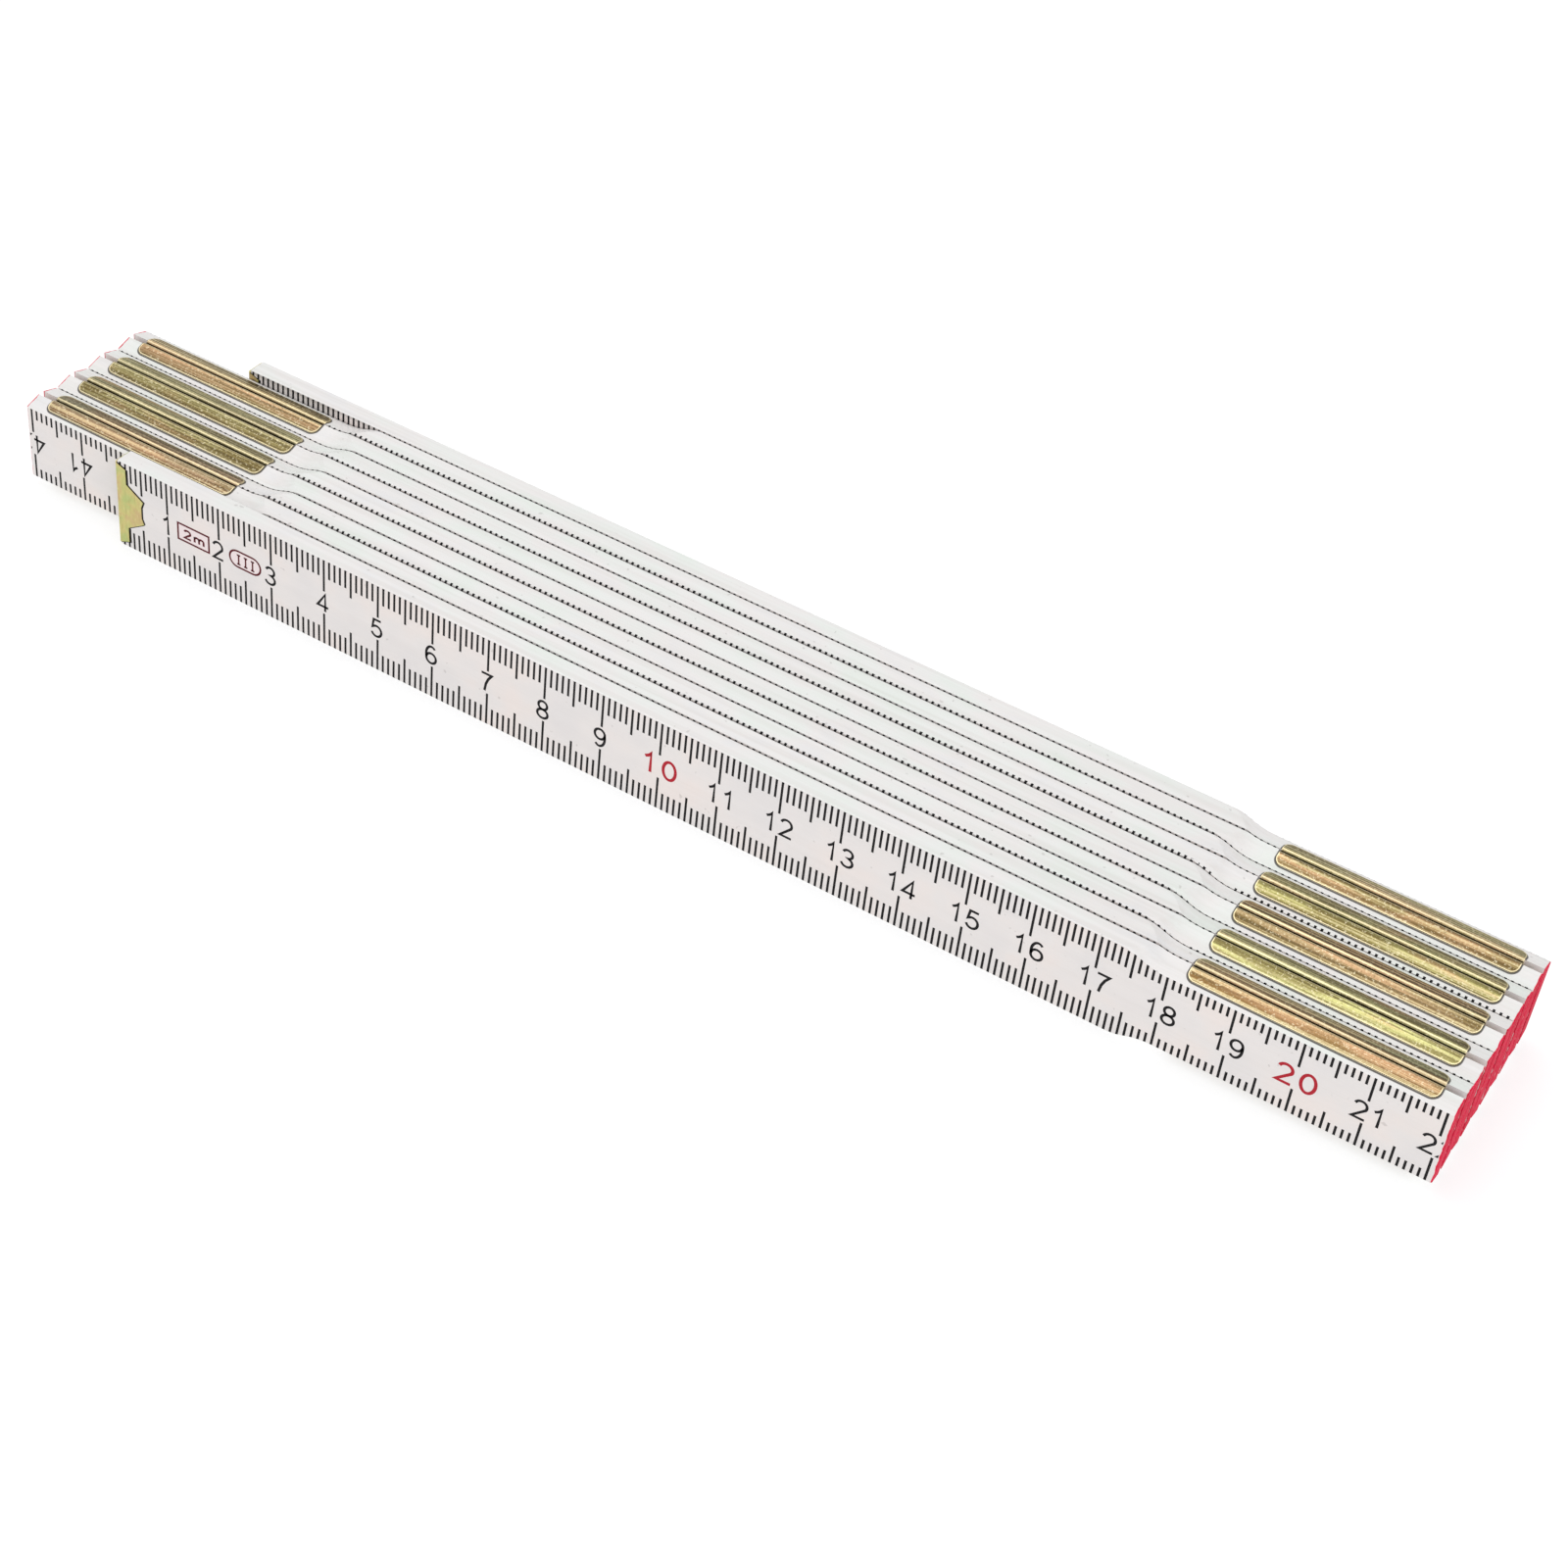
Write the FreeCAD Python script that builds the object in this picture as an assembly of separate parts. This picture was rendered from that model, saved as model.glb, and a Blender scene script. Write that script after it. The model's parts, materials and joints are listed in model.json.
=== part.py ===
import FreeCAD, Part
import math
import os

# A two-metre folding rule of ten wooden slats, folded shut and standing on the narrow edges of
# its slats. Neighbouring slats turn on each other at a hinge: two pressed steel clips lie back to
# back, each folded over the narrowed end of its own slat, and a hidden rivet joins the pair.
#
# Frame, in millimetres: the origin is under the middle of the folded stack, on the surface it
# stands on. +X runs along the slats, from the end with the zero mark towards the first hinge.
# +Y runs through the stack, from the slat that carries the zero mark to the last one. +Z is up.

Vector = FreeCAD.Vector

# Slats
SLAT_COUNT = 10
PIVOT_SPACING = 200.0     # from one pivot of a slat to its other pivot, so each slat measures 200
SLAT_WIDTH = 16.0         # tall way, from narrow edge to narrow edge
SLAT_THICKNESS = 3.3
SLAT_GAP = 0.2            # air between the faces of neighbouring slats
EDGE_ROUND = 0.3

# Hinge clips
SHEET = 0.5               # steel sheet of a clip
CLIP_HALF_LENGTH = 18.0   # a clip reaches this far each way from its pivot
CLIP_RUNNING_GAP = 0.1    # between the two clips of a hinge
CLIP_EDGE_MARGIN = 0.9    # a flange stops this far short of the slat's outer face
CLIP_PROUD = 0.2          # a flange stands this far above the narrowed edge around it
CLIP_CORNER_ROUND = 1.2
CLIP_BEND_ROUND = 0.1     # inside radius of the bend between web and flange

# Narrowed slat ends that the clips hold
TIP_LENGTH = 3.0          # bare slat beyond the clip
NECK_LEAD = 2.0           # bare narrowed slat before the clip
NECK_STEP = 8.0           # length of the curved step from full width down to the neck
NECK_DROP_JOINT = 0.6     # how far the neck's edge lies below the full width, at the hinge side
NECK_DROP_FACE = 1.6      # the same at the outer face, so that the edge is bevelled

# Pivot
PIVOT_RADIUS = 2.0
PIVOT_RUNNING_FIT = 0.05  # radial clearance of the rivet in the clip that turns on it
HEAD_RADIUS = 3.6
HEAD_THICKNESS = 0.5
POCKET_SIDE_CLEARANCE = 0.4
POCKET_END_CLEARANCE = 0.15
WASHER_SHEET = 0.25
WASHER_DISH = 0.2         # height of the spring washer's cone
WASHER_RIM_MARGIN = 0.1   # the washer's rim lies this far inside the rivet head's
WASHER_BORE_CLEARANCE = 0.1
WASHER_FACE_CLEARANCE = 0.03

# End caps
CAP_SHEET = 0.3
CAP_PROUD = 0.05
CAP_EDGE_MARGIN = 0.4     # the cap stops this far short of the narrow edges
CAP_STRIP = 2.0           # width of the cap on the slat's faces
CAP_CORNER = 0.8          # height of the sloping corners of that strip
CAP_TONGUE = 5.2          # reach of its middle tongue
CAP_TONGUE_WAIST = 0.4    # how far the tongue's end dips in between its two tips
CAP_TONGUE_BASE_HALF = 4.1
CAP_TONGUE_TIP_HALF = 2.1
CAP_BEND_ROUND = 0.28

# Amount by which a cutting solid passes what it cuts
OVERCUT = 2.0

# Sizes that follow from those above
LAYER_PITCH = SLAT_THICKNESS + SLAT_GAP
STACK_DEPTH = SLAT_COUNT * SLAT_THICKNESS + (SLAT_COUNT - 1) * SLAT_GAP
TAIL = CLIP_HALF_LENGTH + TIP_LENGTH
NECK_FULL = CLIP_HALF_LENGTH + NECK_LEAD
NECK_START = NECK_FULL + NECK_STEP
BEVEL = math.atan((NECK_DROP_FACE - NECK_DROP_JOINT) / SLAT_THICKNESS)
MID_HEIGHT = SLAT_WIDTH / 2
CLIP_BACK = CLIP_RUNNING_GAP / 2 + SHEET
HALF_SPACING = PIVOT_SPACING / 2


def slat_front(number):
    """Y of a slat's front face; slat 1 is the front one."""
    return -STACK_DEPTH / 2 + (number - 1) * LAYER_PITCH


def hinge_x(hinge):
    """X of a hinge's pivot: odd hinges are at the +X end and even ones at the -X end."""
    return HALF_SPACING if hinge % 2 else -HALF_SPACING


def hinge_plane(hinge):
    """Y of the plane between the two slats that a hinge joins."""
    return slat_front(hinge) + SLAT_THICKNESS + SLAT_GAP / 2


def bar(x_low, x_high, y_low, y_high, z_low, z_high):
    """A block between the given limits."""
    size = (x_high - x_low, y_high - y_low, z_high - z_low)
    return Part.makeBox(*size, Vector(x_low, y_low, z_low))


def cylinder_y(radius, x, y_low, y_high):
    """A cylinder along Y at mid height."""
    return Part.makeCylinder(radius, y_high - y_low, Vector(x, y_low, MID_HEIGHT), Vector(0, 1, 0))


def upside_down(shape):
    """The same shape mirrored about the slats' mid height."""
    return shape.mirror(Vector(0, 0, MID_HEIGHT), Vector(0, 0, 1))


def neck_cutter(hinge, side):
    """What is planed off a slat's upper edge at a hinge; side is +1 if the slat lies at +Y."""
    x_pivot = hinge_x(hinge)
    outward = math.copysign(1, x_pivot)
    depth = NECK_DROP_FACE * math.cos(BEVEL)
    radius = (NECK_STEP ** 2 + depth ** 2) / (4 * depth)
    half_turn = math.asin(NECK_STEP / 2 / radius) / 2
    y_joint = hinge_plane(hinge) + side * SLAT_GAP / 2
    z_joint = SLAT_WIDTH - NECK_DROP_JOINT
    along = Vector(0, side * math.cos(BEVEL), -math.sin(BEVEL))
    up = Vector(0, side * math.sin(BEVEL), math.cos(BEVEL))

    def place(run, height):
        start = Vector(x_pivot + outward * run, y_joint, z_joint)
        return start + up * height - along * OVERCUT

    bend_run = radius * math.sin(half_turn)
    bend_drop = radius * (1 - math.cos(half_turn))
    start = place(-NECK_START, depth)
    middle = place(-(NECK_START + NECK_FULL) / 2, depth / 2)
    foot = place(-NECK_FULL, 0)
    end = place(TAIL + OVERCUT, 0)
    end_top = place(TAIL + OVERCUT, depth + OVERCUT)
    start_top = place(-NECK_START, depth + OVERCUT)
    edges = [
        Part.Arc(start, place(-NECK_START + bend_run, depth - bend_drop), middle).toShape(),
        Part.Arc(middle, place(-NECK_FULL - bend_run, bend_drop), foot).toShape(),
        Part.makeLine(foot, end),
        Part.makeLine(end, end_top),
        Part.makeLine(end_top, start_top),
        Part.makeLine(start_top, start),
    ]
    reach = SLAT_THICKNESS / math.cos(BEVEL) + 3 * OVERCUT
    return Part.Face(Part.Wire(edges)).extrude(along * reach)


def clip_half_section(hinge, side, x):
    """Points of the upper half of a clip's section, as one outer and one inner row."""
    y_plane = hinge_plane(hinge)
    rise = math.tan(BEVEL)
    z_outer = SLAT_WIDTH - NECK_DROP_JOINT + CLIP_PROUD / math.cos(BEVEL)

    def point(away, z):
        return Vector(x, y_plane + side * away, z)

    bend_outer = CLIP_BEND_ROUND + SHEET
    centre_away = CLIP_RUNNING_GAP / 2 + bend_outer
    centre_z = z_outer - rise * (centre_away - SLAT_GAP / 2) - bend_outer / math.cos(BEVEL)
    half_turn = (3 * math.pi / 2 - BEVEL) / 2
    end_away = SLAT_GAP / 2 + SLAT_THICKNESS - CLIP_EDGE_MARGIN
    end_z = z_outer - rise * (end_away - SLAT_GAP / 2)

    def around(radius, angle):
        return point(centre_away + radius * math.cos(angle), centre_z + radius * math.sin(angle))

    flat = math.pi / 2 - BEVEL
    outer = [around(bend_outer, angle) for angle in (math.pi, half_turn, flat)]
    inner = [around(CLIP_BEND_ROUND, angle) for angle in (math.pi, half_turn, flat)]
    outer.append(point(end_away, end_z))
    inner.append(point(end_away - SHEET * math.sin(BEVEL), end_z - SHEET * math.cos(BEVEL)))
    return outer, inner


def row_edges(points):
    """A bend followed by a flange, as an arc and a line."""
    arc = Part.Arc(points[0], points[1], points[2]).toShape()
    return [arc, Part.makeLine(points[2], points[3])]


def hinge_clip(hinge, side, bore):
    """One pressed clip: a web at the hinge plane and two flanges over the slat's edges."""
    x_low = hinge_x(hinge) - CLIP_HALF_LENGTH
    outer, inner = clip_half_section(hinge, side, x_low)
    half = row_edges(outer) + row_edges(inner) + [Part.makeLine(outer[3], inner[3])]
    roots = [row[0] for row in (outer, inner)]
    web = [Part.makeLine(root, Vector(x_low, root.y, SLAT_WIDTH - root.z)) for root in roots]
    edges = half + [upside_down(edge) for edge in half] + web
    section = Part.Face(Part.Wire(Part.__sortEdges__(edges)))
    clip = section.extrude(Vector(2 * CLIP_HALF_LENGTH, 0, 0))
    clip = clip.common(clip_outline(hinge, side))
    reach = CLIP_BACK + OVERCUT
    y_plane = hinge_plane(hinge)
    return clip.cut(cylinder_y(bore, hinge_x(hinge), y_plane - reach, y_plane + reach))


def clip_outline(hinge, side):
    """Upright block whose plan is the clip's, with the flanges' outer corners rounded."""
    x_pivot = hinge_x(hinge)
    y_plane = hinge_plane(hinge)
    y_far = y_plane + side * (SLAT_GAP / 2 + SLAT_THICKNESS - CLIP_EDGE_MARGIN)
    limits = sorted((y_plane, y_far))
    ends = (x_pivot - CLIP_HALF_LENGTH, x_pivot + CLIP_HALF_LENGTH)
    block = bar(*ends, *limits, -OVERCUT, SLAT_WIDTH + OVERCUT)
    corners = [edge for edge in block.Edges if edge.BoundBox.ZLength > SLAT_WIDTH]
    corners = [edge for edge in corners if abs(edge.Vertexes[0].Y - y_far) < SLAT_GAP / 2]
    return block.makeFillet(CLIP_CORNER_ROUND, corners)


def recess(hinge, side):
    """Shallow recess in the slat's face behind the clip, open to the slat's end."""
    x_pivot = hinge_x(hinge)
    outward = math.copysign(1, x_pivot)
    ends = sorted((x_pivot - outward * CLIP_HALF_LENGTH, x_pivot + outward * (TAIL + OVERCUT)))
    y_plane = hinge_plane(hinge)
    limits = sorted((y_plane, y_plane + side * CLIP_BACK))
    return bar(*ends, *limits, -OVERCUT, SLAT_WIDTH + OVERCUT)


def washer_height():
    """Overall height of the dished spring washer."""
    return WASHER_SHEET + WASHER_DISH


def pocket(hinge, side):
    """Blind round pocket in the slat for the rivet's head, and for the washer on the far side."""
    y_plane = hinge_plane(hinge)
    depth = HEAD_THICKNESS + POCKET_END_CLEARANCE
    if side > 0:
        depth += WASHER_FACE_CLEARANCE + washer_height()
    limits = sorted((y_plane, y_plane + side * (CLIP_BACK + depth)))
    return cylinder_y(HEAD_RADIUS + POCKET_SIDE_CLEARANCE, hinge_x(hinge), *limits)


def pivot_rivet(hinge):
    """Rivet that is fast in the front clip and runs in the back one."""
    x = hinge_x(hinge)
    y_plane = hinge_plane(hinge)
    y_front = y_plane - CLIP_BACK
    y_back = y_plane + CLIP_BACK + WASHER_FACE_CLEARANCE + washer_height()
    shank = cylinder_y(PIVOT_RADIUS, x, y_front - HEAD_THICKNESS, y_back + HEAD_THICKNESS)
    front_head = cylinder_y(HEAD_RADIUS, x, y_front - HEAD_THICKNESS, y_front)
    back_head = cylinder_y(HEAD_RADIUS, x, y_back, y_back + HEAD_THICKNESS)
    return shank.fuse([front_head, back_head]).removeSplitter()


def spring_washer(hinge):
    """Dished spring washer between the back clip and the rivet's back head."""
    x = hinge_x(hinge)
    y_low = hinge_plane(hinge) + CLIP_BACK + WASHER_FACE_CLEARANCE
    bore = PIVOT_RADIUS + WASHER_BORE_CLEARANCE
    rim = HEAD_RADIUS - WASHER_RIM_MARGIN
    corners = [
        Vector(x + rim, y_low, MID_HEIGHT),
        Vector(x + rim, y_low + WASHER_SHEET, MID_HEIGHT),
        Vector(x + bore, y_low + washer_height(), MID_HEIGHT),
        Vector(x + bore, y_low + WASHER_DISH, MID_HEIGHT),
    ]
    section = Part.Face(Part.makePolygon(corners + corners[:1]))
    return section.revolve(Vector(x, y_low, MID_HEIGHT), Vector(0, 1, 0), 360)


def cap_outline(x_end):
    """Half of the cap's outline on a slat's face, from the end plate to the tongue's middle."""
    top = SLAT_WIDTH - CAP_EDGE_MARGIN
    return [
        (x_end, top),
        (x_end + CAP_STRIP, top - CAP_CORNER),
        (x_end + CAP_STRIP, MID_HEIGHT + CAP_TONGUE_BASE_HALF),
        (x_end + CAP_TONGUE, MID_HEIGHT + CAP_TONGUE_TIP_HALF),
        (x_end + CAP_TONGUE - CAP_TONGUE_WAIST, MID_HEIGHT + CAP_TONGUE_TIP_HALF / 2),
    ]


def end_cap(number):
    """Thin metal cap folded over the free end of the first or the last slat."""
    x_end = -HALF_SPACING
    y_low = slat_front(number) - CAP_PROUD
    y_high = slat_front(number) + SLAT_THICKNESS + CAP_PROUD
    upper = cap_outline(x_end)
    lower = [(x, SLAT_WIDTH - z) for x, z in reversed(upper)]
    corners = [Vector(x, y_low, z) for x, z in upper + lower]
    outline = Part.Face(Part.makePolygon(corners + corners[:1]))
    solid = outline.extrude(Vector(0, y_high - y_low, 0))
    ends = [edge for edge in solid.Edges if edge.BoundBox.XMax < x_end + CAP_PROUD]
    upright = [edge for edge in ends if edge.BoundBox.ZLength > CAP_STRIP]
    solid = solid.makeFillet(CAP_BEND_ROUND, upright)
    inside = bar(
        x_end + CAP_SHEET,
        x_end + CAP_TONGUE + OVERCUT,
        y_low + CAP_SHEET,
        y_high - CAP_SHEET,
        -OVERCUT,
        SLAT_WIDTH + OVERCUT,
    )
    return solid.cut(inside)


def slat_hinges(number):
    """The hinges that a slat belongs to, each with the side of it that the slat lies on."""
    hinges = []
    if number > 1:
        hinges.append((number - 1, 1))
    if number < SLAT_COUNT:
        hinges.append((number, -1))
    return hinges


def slat(number, clips, caps):
    """One wooden slat, with its necks, recesses and pockets, fitted to its clips and cap."""
    capped = number in caps
    x_low = -HALF_SPACING + CAP_SHEET if capped else -HALF_SPACING - TAIL
    y_low = slat_front(number)
    body = bar(x_low, HALF_SPACING + TAIL, y_low, y_low + SLAT_THICKNESS, 0, SLAT_WIDTH)
    body = body.makeFillet(EDGE_ROUND, body.Edges)
    cutters = []
    for hinge, side in slat_hinges(number):
        neck = neck_cutter(hinge, side)
        cutters += [neck, upside_down(neck), recess(hinge, side), pocket(hinge, side), clips[hinge, side]]
    if capped:
        cutters.append(caps[number])
    return body.cut(cutters)


def save(name, shape):
    """Write one node, and say whether it is one valid solid."""
    print(name, "valid:", shape.isValid(), "solids:", len(shape.Solids))
    shape.exportStep("parts/" + name + ".step")


os.makedirs("parts", exist_ok=True)

clips = {}
for hinge in range(1, SLAT_COUNT):
    clips[hinge, -1] = hinge_clip(hinge, -1, PIVOT_RADIUS)
    clips[hinge, 1] = hinge_clip(hinge, 1, PIVOT_RADIUS + PIVOT_RUNNING_FIT)
    save(f"clip_front_{hinge:02d}", clips[hinge, -1])
    save(f"clip_back_{hinge:02d}", clips[hinge, 1])
    save(f"pivot_rivet_{hinge:02d}", pivot_rivet(hinge))
    save(f"spring_washer_{hinge:02d}", spring_washer(hinge))

caps = {number: end_cap(number) for number in (1, SLAT_COUNT)}
save("end_cap_zero", caps[1])
save("end_cap_last", caps[SLAT_COUNT])

for number in range(1, SLAT_COUNT + 1):
    save(f"slat_{number:02d}", slat(number, clips, caps))
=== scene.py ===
# %% [markdown]
# # A folding rule, from its measured parts to a finished picture
# This lesson dresses a folding rule: ten lacquered wooden slats, hinged end to end and folded shut.
# Its solid parts come ready measured, as a fixed frame. What is left is all that a size can't say:
# lacquer, printed millimetres, red end grain and the coloured passivation on the steel hinges.
# The first cell loads the frame.

# %% Load the measured parts
import json
import math

import bmesh
import bpy
from mathutils import Matrix, Vector


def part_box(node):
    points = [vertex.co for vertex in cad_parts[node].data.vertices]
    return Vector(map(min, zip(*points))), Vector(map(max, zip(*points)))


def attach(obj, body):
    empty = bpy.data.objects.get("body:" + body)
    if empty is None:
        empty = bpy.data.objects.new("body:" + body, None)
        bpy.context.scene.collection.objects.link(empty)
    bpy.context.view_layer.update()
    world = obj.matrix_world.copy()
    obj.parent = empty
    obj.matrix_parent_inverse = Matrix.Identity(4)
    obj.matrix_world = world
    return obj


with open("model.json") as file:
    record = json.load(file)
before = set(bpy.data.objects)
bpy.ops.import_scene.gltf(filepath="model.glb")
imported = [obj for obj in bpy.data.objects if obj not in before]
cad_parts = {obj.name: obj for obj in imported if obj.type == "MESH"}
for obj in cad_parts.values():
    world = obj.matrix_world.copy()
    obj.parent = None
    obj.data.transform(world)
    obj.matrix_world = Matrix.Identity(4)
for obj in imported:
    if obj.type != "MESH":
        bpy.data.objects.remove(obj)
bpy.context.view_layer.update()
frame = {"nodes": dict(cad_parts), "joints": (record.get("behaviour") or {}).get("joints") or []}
nodes = frame["nodes"]

# %% [markdown]
# ## Sizes that the looks need
# The scale is printed on the slats, so the printing has to know how a slat is measured off. Each
# slat runs 200 mm from pivot to pivot. The hinges alternate between the two ends of the stack, so
# the reading runs towards +X on one slat and back towards -X on the next. The pivots are read from
# the frame's joints, and the slats' outlines from the frame's own boxes.

# %% Work out where each slat lies
MM = 0.001
SLATS = sum(name.startswith("slat_") for name in nodes)
READING_PER_SLAT = 200
CENTIMETRE = 10
DECIMETRE = 100
pivots = [Vector(joint["pos_m"]) for joint in frame["joints"]]
half_spacing = abs(pivots[0].x)
layer_pitch = pivots[1].y - pivots[0].y
slat_boxes = {number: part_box(f"slat_{number:02d}") for number in range(1, SLATS + 1)}
slat_low, slat_high = slat_boxes[1]
slat_width = slat_high.z - slat_low.z
slat_thickness = slat_high.y - slat_low.y
slat_end = slat_high.x
mid_height = (slat_low.z + slat_high.z) / 2
outer_face = -slat_low.y
print(f"{SLATS} slats, {slat_width / MM:.1f} mm wide and {slat_thickness / MM:.2f} mm thick")

# %% [markdown]
# ## The camera and the room
# A rule like this is usually shown from above one corner, with a long lens, so that the scale on
# the front slat reads easily and the rows of hinges show on top. The camera is placed by
# its three axes, which is exact where a look-at target would leave the roll open.

# %% Set the camera
camera_place = Vector((0.15928, -0.29166, 0.28592))
camera_right = Vector((0.84663, 0.52354, 0.09549))
camera_forward = Vector((-0.33985, 0.66998, -0.66002))
camera_up = camera_right.cross(camera_forward)
camera_data = bpy.data.cameras.new("camera")
camera_data.sensor_width = 36.0
camera_data.lens = 67.994
camera_data.clip_start = 0.01
camera = bpy.data.objects.new("camera", camera_data)
turn = Matrix((camera_right, camera_up, -camera_forward)).transposed().to_4x4()
camera.matrix_world = Matrix.Translation(camera_place) @ turn
bpy.context.scene.collection.objects.link(camera)
bpy.context.scene.camera = camera
print("camera looks down", round(math.degrees(math.asin(-camera_forward.z)), 1), "degrees")

# %% [markdown]
# ## Writing shaders as expressions
# A procedural material is arithmetic on patterns. Wiring each Math node by hand hides that, so one
# small class wraps a socket and lets Python's operators add the nodes: `1 - mask * 0.3` is then two
# nodes. Colours and vectors go through methods of their own, because a Math node keeps only one
# number. A second class holds a material being mixed, and makes any other node with one method.

# %% Wrap a socket
class Wire:
    """An output socket, on which Python's operators add Math nodes."""

    def __init__(self, paint, socket):
        self.paint = paint
        self.socket = socket

    def math(self, operation, first, second=None):
        inputs = {0: first} if second is None else {0: first, 1: second}
        return self.paint.node("ShaderNodeMath", {"operation": operation}, inputs)

    def __add__(self, other):
        return self.math("ADD", self, other)

    def __radd__(self, other):
        return self.math("ADD", other, self)

    def __sub__(self, other):
        return self.math("SUBTRACT", self, other)

    def __rsub__(self, other):
        return self.math("SUBTRACT", other, self)

    def __mul__(self, other):
        return self.math("MULTIPLY", self, other)

    def __truediv__(self, other):
        return self.math("DIVIDE", self, other)

    def __abs__(self):
        return self.math("ABSOLUTE", self)

    def step(self, low, high):
        """0 below low, 1 above high and smooth between them."""
        settings = {"interpolation_type": "SMOOTHSTEP"}
        inputs = {"Value": self, "From Min": low, "From Max": high}
        return self.paint.node("ShaderNodeMapRange", settings, inputs)

    def most(self, other):
        return self.math("MAXIMUM", self, other)

    def fraction(self):
        return self.math("FRACT", self)

    def root(self):
        return self.math("SQRT", self)


print("a wire's own methods:", [name for name in vars(Wire) if not name.startswith("_")])

# %% Hold a material while it is mixed
class Paint:
    """A material under the brush: makes nodes and joins them to one surface shader."""

    def __init__(self, name):
        self.material = bpy.data.materials.new(name)
        self.material.use_nodes = True
        self.tree = self.material.node_tree
        self.tree.nodes.clear()

    def node(self, kind, settings=None, inputs=None, output=0, stops=None):
        """Adds one node: its settings first, then a ramp's stops, then its sockets' values or links."""
        made = self.tree.nodes.new(kind)
        for name, value in (settings or {}).items():
            setattr(made, name, value)
        if stops:
            ramp = made.color_ramp.elements
            while len(ramp) < len(stops):
                ramp.new(0.5)
            for element, (position, colour) in zip(ramp, stops):
                element.position = position
                element.color = (*colour, 1.0)
        for name, value in (inputs or {}).items():
            if isinstance(value, Wire):
                self.tree.links.new(value.socket, made.inputs[name])
            else:
                made.inputs[name].default_value = value
        return Wire(self, made.outputs[output])

    def place(self):
        """Object coordinates, in metres in the rule's own frame."""
        return self.node("ShaderNodeTexCoord", output="Object")

    def facing(self):
        """The outward direction of the surface, in the piece's own frame, so it turns with it."""
        return self.axes(self.node("ShaderNodeTexCoord", output="Normal"))

    def axes(self, vector):
        """The three numbers of a vector."""
        split = self.node("ShaderNodeSeparateXYZ", None, {0: vector})
        return [Wire(self, socket) for socket in split.socket.node.outputs]

    def stretch(self, vector, scale):
        """A vector with each axis scaled on its own."""
        return self.node("ShaderNodeVectorMath", {"operation": "MULTIPLY"}, {0: vector, 1: scale})

    def noise(self, vector, scale, detail, roughness=0.5, distortion=0.0):
        values = {"Vector": vector, "Scale": scale, "Detail": detail}
        values.update({"Roughness": roughness, "Distortion": distortion})
        return self.node("ShaderNodeTexNoise", None, values)

    def mix(self, factor, first, second):
        """One colour over another."""
        settings = {"data_type": "RGBA", "blend_type": "MIX", "clamp_factor": True}
        return self.node("ShaderNodeMix", settings, {0: factor, 6: first, 7: second}, output=2)

    def ramp(self, factor, stops):
        """A colour ramp, from pairs of a position and a colour in 0 to 255 steps."""
        shades = [(position, srgb(*colour)[:3]) for position, colour in stops]
        return self.node("ShaderNodeValToRGB", None, {0: factor}, stops=shades)

    def bump(self, height, strength, distance):
        values = {"Height": height, "Strength": strength, "Distance": distance}
        return self.node("ShaderNodeBump", None, values)

    def shader(self, **values):
        """One Principled shader; the names of its sockets are written with _ for spaces."""
        inputs = {name.replace("_", " "): value for name, value in values.items()}
        return self.node("ShaderNodeBsdfPrincipled", None, inputs)

    def close(self, shader):
        """Joins a shader to the material's output, and gives the finished material."""
        output = self.tree.nodes.new("ShaderNodeOutputMaterial")
        self.tree.links.new(shader.socket, output.inputs["Surface"])
        print("material", self.material.name, "with", len(self.tree.nodes), "nodes")
        return self.material

    def surface(self, **values):
        """A whole material of one Principled shader."""
        return self.close(self.shader(**values))


def srgb(red, green, blue):
    """A colour given in the usual 0 to 255 steps, as the linear colour that a shader takes."""
    linear = []
    for step in (red, green, blue):
        share = step / 255
        linear.append(share / 12.92 if share <= 0.04045 else ((share + 0.055) / 1.055) ** 2.4)
    return (*linear, 1.0)


print("a middle grey of 128 steps is", round(srgb(128, 128, 128)[0], 3), "in linear light")

# %% [markdown]
# ## A pale floor and soft light
# White lacquer on a white floor only reads if the light has a direction. One large soft lamp from
# the upper left keeps the narrow edges brighter than the front face, a weaker one fills the front,
# and the world fills the rest, so that the gaps between the slats stay the darkest lines.

# %% Lay the floor
FLOOR_REACH = 4.0
FLOOR_DROP = 0.02 * MM
FLOOR_GLOW = 0.70


def floor_material():
    """White paper lit from below, as on a light table, so that shadows stay faint."""
    paint = Paint("floor_paper")
    cloud = paint.noise(paint.place(), 6.0, 2.0)
    colour = paint.mix(cloud, srgb(158, 158, 158), srgb(162, 162, 162))
    glow = srgb(255, 255, 255)
    return paint.surface(
        Base_Color=colour, Roughness=0.9, Emission_Color=glow, Emission_Strength=FLOOR_GLOW
    )


floor_mesh = bpy.data.meshes.new("floor")
corners = [(-1, -1), (1, -1), (1, 1), (-1, 1)]
floor_points = [(x * FLOOR_REACH, y * FLOOR_REACH, -FLOOR_DROP) for x, y in corners]
floor_mesh.from_pydata(floor_points, [], [(0, 1, 2, 3)])
floor_mesh.materials.append(floor_material())
floor = bpy.data.objects.new("floor", floor_mesh)
bpy.context.scene.collection.objects.link(floor)

# %% Hang the lamps
def soft_lamp(name, place, size, watts):
    """A square area lamp that faces the middle of the rule."""
    data = bpy.data.lights.new(name, "AREA")
    data.shape = "SQUARE"
    data.size = size
    data.energy = watts
    lamp = bpy.data.objects.new(name, data)
    lamp.location = place
    toward = Vector((0.0, 0.0, mid_height)) - Vector(place)
    lamp.rotation_euler = toward.to_track_quat("-Z", "Y").to_euler()
    bpy.context.scene.collection.objects.link(lamp)
    print(name, "of", watts, "W,", round(toward.length, 2), "m away")


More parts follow.
